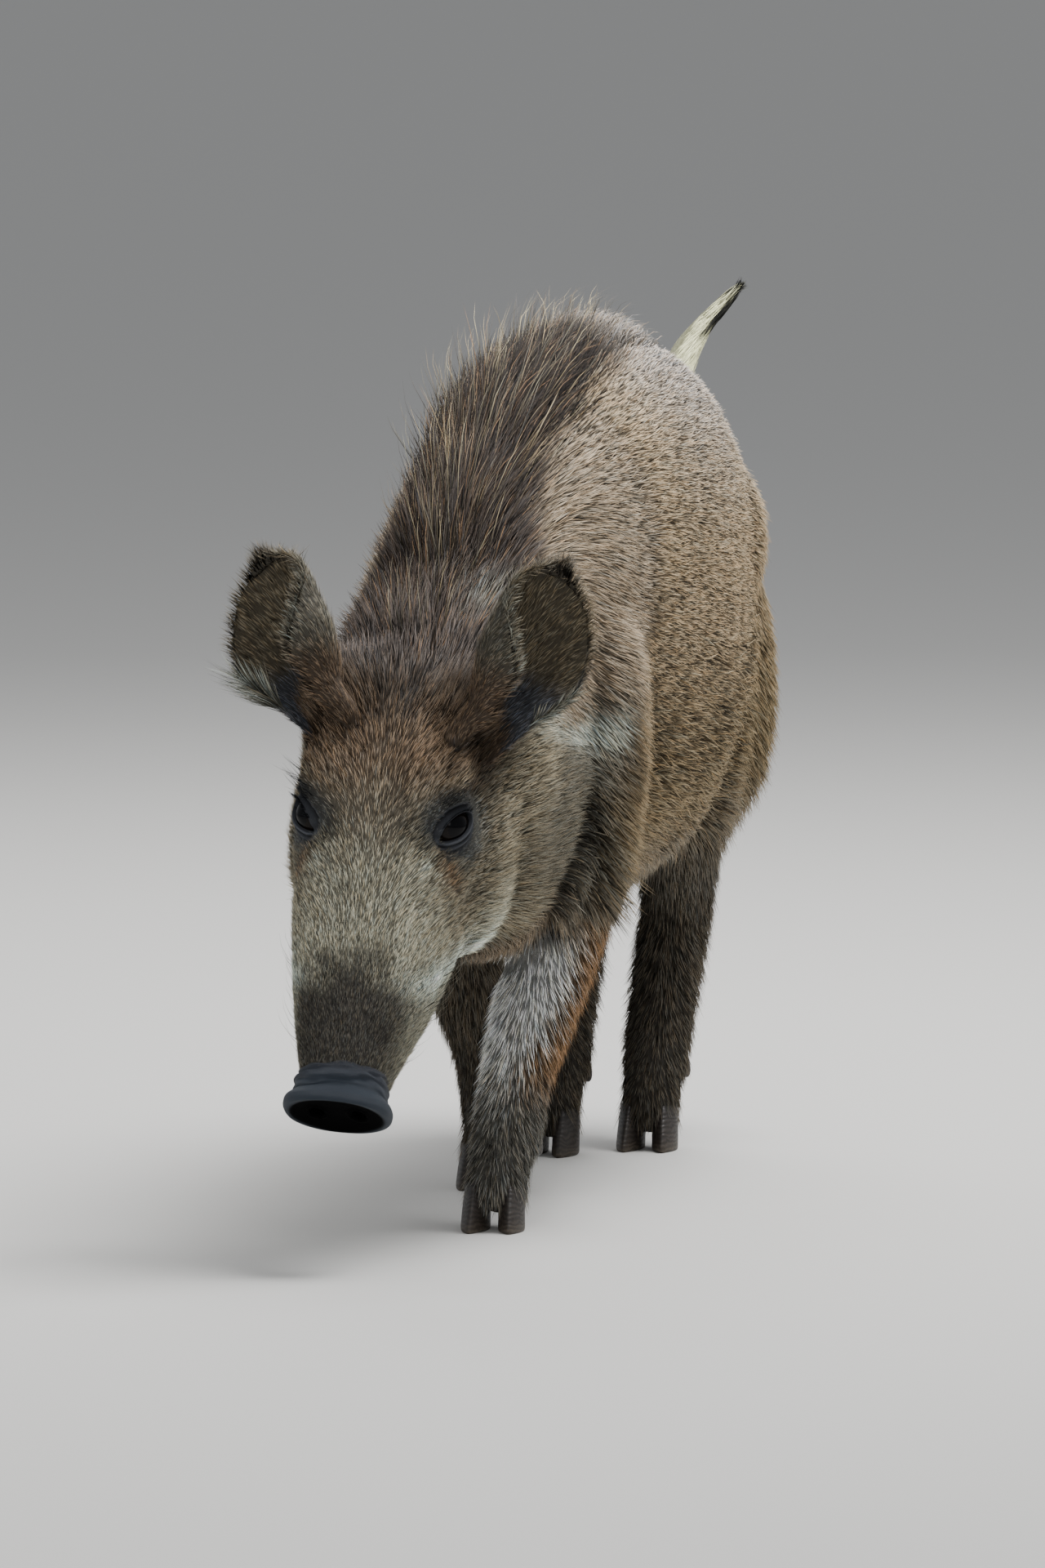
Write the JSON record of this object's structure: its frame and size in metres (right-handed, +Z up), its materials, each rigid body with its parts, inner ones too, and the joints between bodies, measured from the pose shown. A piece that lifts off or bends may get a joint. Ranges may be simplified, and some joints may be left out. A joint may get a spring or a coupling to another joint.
{
  "type": "wild boar",
  "caption": "Life-size young wild boar stepping forward with its head down, ears out and tail raised, standing on cloven hooves.",
  "frame": {"origin": "the middle of the boar's bounding box, on the floor under its soles", "axes": "+Z up; -Y the way that the boar faces and walks; +X its left side"},
  "size_m": [0.2643, 1.0122, 0.6473],
  "materials": {
    "coat": "matte hair",
    "face_coat": "matte short hair",
    "mane": "coarse bristles",
    "leg_coat": "matte short hair",
    "ear_coat": "haired skin",
    "nose_skin": "bare wrinkled skin",
    "eye": "wet gloss",
    "hoof": "dull horn",
    "tail_coat": "matte hair"
  },
  "bodies": {
    "root": {"head": "face_coat", "nose_disc": "nose_skin", "neck": "mane", "trunk": "coat", "tail": "tail_coat", "ear_left": "ear_coat", "ear_right": "ear_coat", "eye_left": "eye", "eye_right": "eye", "foreleg_left": "leg_coat", "foreleg_right": "leg_coat", "hindleg_left": "leg_coat", "hindleg_right": "leg_coat", "hoof_foreleg_left_left": "hoof", "hoof_foreleg_left_right": "hoof", "hoof_foreleg_right_left": "hoof", "hoof_foreleg_right_right": "hoof", "hoof_hindleg_left_left": "hoof", "hoof_hindleg_left_right": "hoof", "hoof_hindleg_right_left": "hoof", "hoof_hindleg_right_right": "hoof", "dewclaw_foreleg_left_left": "hoof", "dewclaw_foreleg_left_right": "hoof", "dewclaw_foreleg_right_left": "hoof", "dewclaw_foreleg_right_right": "hoof", "dewclaw_hindleg_left_left": "hoof", "dewclaw_hindleg_left_right": "hoof", "dewclaw_hindleg_right_left": "hoof", "dewclaw_hindleg_right_right": "hoof"}
  },
  "joints": []
}
